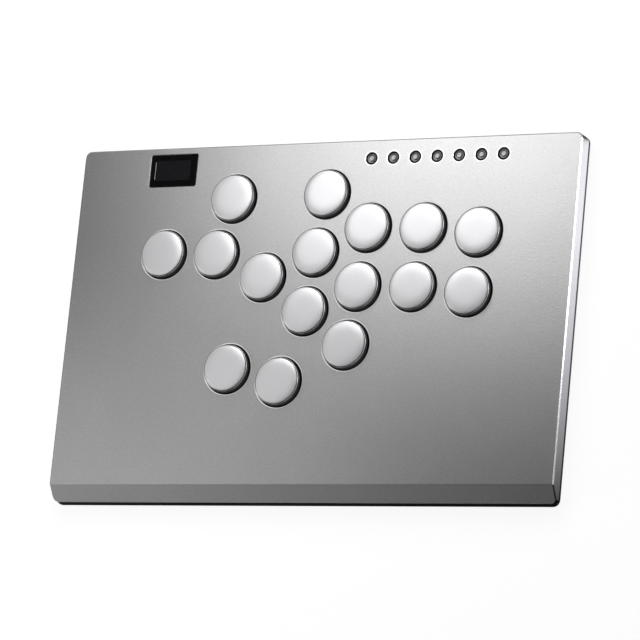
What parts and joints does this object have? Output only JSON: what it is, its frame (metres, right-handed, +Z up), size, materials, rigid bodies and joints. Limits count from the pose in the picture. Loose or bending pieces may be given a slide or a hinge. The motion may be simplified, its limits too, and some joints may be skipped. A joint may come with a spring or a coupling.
{
  "type": "arcade control panel",
  "caption": "Slim desktop all-button arcade controller: satin aluminium cover with a sloped front lip, round press buttons, small function buttons and a status display.",
  "frame": {"origin": "centre of the footprint on the surface the feet rest on", "axes": "+X to the player's right, +Y away from the player towards the back edge, +Z up out of the button face"},
  "size_m": [0.257, 0.169, 0.0144],
  "materials": {
    "cover_metal": "satin bead-blasted, bright-cut edges",
    "tray_plastic": "fine matt moulding",
    "button_cap": "satin turned, clear",
    "function_button": "satin grey",
    "window": "polished dark tinted",
    "board": "solder mask",
    "dark_plastic": "moulded",
    "steel": "plated",
    "rubber": "matt"
  },
  "bodies": {
    "case": {"top_cover": "cover_metal", "base_tray": "tray_plastic", "main_board": "board", "display_window": "window", "display_module": "dark_plastic", "usb_port": "steel", "controller_chip": "dark_plastic", "foot_strip_front": "rubber", "foot_strip_rear": "rubber", "switch_action_upper_1": "dark_plastic", "switch_action_upper_2": "dark_plastic", "switch_action_upper_3": "dark_plastic", "switch_action_upper_4": "dark_plastic", "switch_action_lower_1": "dark_plastic", "switch_action_lower_2": "dark_plastic", "switch_action_lower_3": "dark_plastic", "switch_action_lower_4": "dark_plastic", "switch_direction_left": "dark_plastic", "switch_direction_down": "dark_plastic", "switch_direction_right": "dark_plastic", "switch_upper_left": "dark_plastic", "switch_upper_mid": "dark_plastic", "switch_thumb_left": "dark_plastic", "switch_thumb_mid": "dark_plastic", "switch_thumb_right": "dark_plastic", "tact_function_1": "dark_plastic", "tact_function_2": "dark_plastic", "tact_function_3": "dark_plastic", "tact_function_4": "dark_plastic", "tact_function_5": "dark_plastic", "tact_function_6": "dark_plastic", "tact_function_7": "dark_plastic", "base_screw_front_left": "steel", "base_screw_front_right": "steel", "base_screw_rear_left": "steel", "base_screw_rear_right": "steel"},
    "button_action_upper_1": {"cap_action_upper_1": "button_cap"},
    "button_action_upper_2": {"cap_action_upper_2": "button_cap"},
    "button_action_upper_3": {"cap_action_upper_3": "button_cap"},
    "button_action_upper_4": {"cap_action_upper_4": "button_cap"},
    "button_action_lower_1": {"cap_action_lower_1": "button_cap"},
    "button_action_lower_2": {"cap_action_lower_2": "button_cap"},
    "button_action_lower_3": {"cap_action_lower_3": "button_cap"},
    "button_action_lower_4": {"cap_action_lower_4": "button_cap"},
    "button_direction_left": {"cap_direction_left": "button_cap"},
    "button_direction_down": {"cap_direction_down": "button_cap"},
    "button_direction_right": {"cap_direction_right": "button_cap"},
    "button_upper_left": {"cap_upper_left": "button_cap"},
    "button_upper_mid": {"cap_upper_mid": "button_cap"},
    "button_thumb_left": {"cap_thumb_left": "button_cap"},
    "button_thumb_mid": {"cap_thumb_mid": "button_cap"},
    "button_thumb_right": {"cap_thumb_right": "button_cap"},
    "button_function_1": {"plunger_function_1": "function_button"},
    "button_function_2": {"plunger_function_2": "function_button"},
    "button_function_3": {"plunger_function_3": "function_button"},
    "button_function_4": {"plunger_function_4": "function_button"},
    "button_function_5": {"plunger_function_5": "function_button"},
    "button_function_6": {"plunger_function_6": "function_button"},
    "button_function_7": {"plunger_function_7": "function_button"}
  },
  "joints": [
    {"name": "press_action_upper_1", "type": "slide", "parent": "case", "child": "button_action_upper_1", "axis": [0, 0, -1], "range_m": [0, 0.0026], "stiffness_N_per_m": 180, "springref_m": -0.001},
    {"name": "press_action_upper_2", "type": "slide", "parent": "case", "child": "button_action_upper_2", "axis": [0, 0, -1], "range_m": [0, 0.0026], "stiffness_N_per_m": 180, "springref_m": -0.001},
    {"name": "press_action_upper_3", "type": "slide", "parent": "case", "child": "button_action_upper_3", "axis": [0, 0, -1], "range_m": [0, 0.0026], "stiffness_N_per_m": 180, "springref_m": -0.001},
    {"name": "press_action_upper_4", "type": "slide", "parent": "case", "child": "button_action_upper_4", "axis": [0, 0, -1], "range_m": [0, 0.0026], "stiffness_N_per_m": 180, "springref_m": -0.001},
    {"name": "press_action_lower_1", "type": "slide", "parent": "case", "child": "button_action_lower_1", "axis": [0, 0, -1], "range_m": [0, 0.0026], "stiffness_N_per_m": 180, "springref_m": -0.001},
    {"name": "press_action_lower_2", "type": "slide", "parent": "case", "child": "button_action_lower_2", "axis": [0, 0, -1], "range_m": [0, 0.0026], "stiffness_N_per_m": 180, "springref_m": -0.001},
    {"name": "press_action_lower_3", "type": "slide", "parent": "case", "child": "button_action_lower_3", "axis": [0, 0, -1], "range_m": [0, 0.0026], "stiffness_N_per_m": 180, "springref_m": -0.001},
    {"name": "press_action_lower_4", "type": "slide", "parent": "case", "child": "button_action_lower_4", "axis": [0, 0, -1], "range_m": [0, 0.0026], "stiffness_N_per_m": 180, "springref_m": -0.001},
    {"name": "press_direction_left", "type": "slide", "parent": "case", "child": "button_direction_left", "axis": [0, 0, -1], "range_m": [0, 0.0026], "stiffness_N_per_m": 180, "springref_m": -0.001},
    {"name": "press_direction_down", "type": "slide", "parent": "case", "child": "button_direction_down", "axis": [0, 0, -1], "range_m": [0, 0.0026], "stiffness_N_per_m": 180, "springref_m": -0.001},
    {"name": "press_direction_right", "type": "slide", "parent": "case", "child": "button_direction_right", "axis": [0, 0, -1], "range_m": [0, 0.0026], "stiffness_N_per_m": 180, "springref_m": -0.001},
    {"name": "press_upper_left", "type": "slide", "parent": "case", "child": "button_upper_left", "axis": [0, 0, -1], "range_m": [0, 0.0026], "stiffness_N_per_m": 180, "springref_m": -0.001},
    {"name": "press_upper_mid", "type": "slide", "parent": "case", "child": "button_upper_mid", "axis": [0, 0, -1], "range_m": [0, 0.0026], "stiffness_N_per_m": 180, "springref_m": -0.001},
    {"name": "press_thumb_left", "type": "slide", "parent": "case", "child": "button_thumb_left", "axis": [0, 0, -1], "range_m": [0, 0.0026], "stiffness_N_per_m": 180, "springref_m": -0.001},
    {"name": "press_thumb_mid", "type": "slide", "parent": "case", "child": "button_thumb_mid", "axis": [0, 0, -1], "range_m": [0, 0.0026], "stiffness_N_per_m": 180, "springref_m": -0.001},
    {"name": "press_thumb_right", "type": "slide", "parent": "case", "child": "button_thumb_right", "axis": [0, 0, -1], "range_m": [0, 0.0026], "stiffness_N_per_m": 180, "springref_m": -0.001},
    {"name": "press_function_1", "type": "slide", "parent": "case", "child": "button_function_1", "axis": [0, 0, -1], "range_m": [0, 0.0003]},
    {"name": "press_function_2", "type": "slide", "parent": "case", "child": "button_function_2", "axis": [0, 0, -1], "range_m": [0, 0.0003]},
    {"name": "press_function_3", "type": "slide", "parent": "case", "child": "button_function_3", "axis": [0, 0, -1], "range_m": [0, 0.0003]},
    {"name": "press_function_4", "type": "slide", "parent": "case", "child": "button_function_4", "axis": [0, 0, -1], "range_m": [0, 0.0003]},
    {"name": "press_function_5", "type": "slide", "parent": "case", "child": "button_function_5", "axis": [0, 0, -1], "range_m": [0, 0.0003]},
    {"name": "press_function_6", "type": "slide", "parent": "case", "child": "button_function_6", "axis": [0, 0, -1], "range_m": [0, 0.0003]},
    {"name": "press_function_7", "type": "slide", "parent": "case", "child": "button_function_7", "axis": [0, 0, -1], "range_m": [0, 0.0003]}
  ]
}
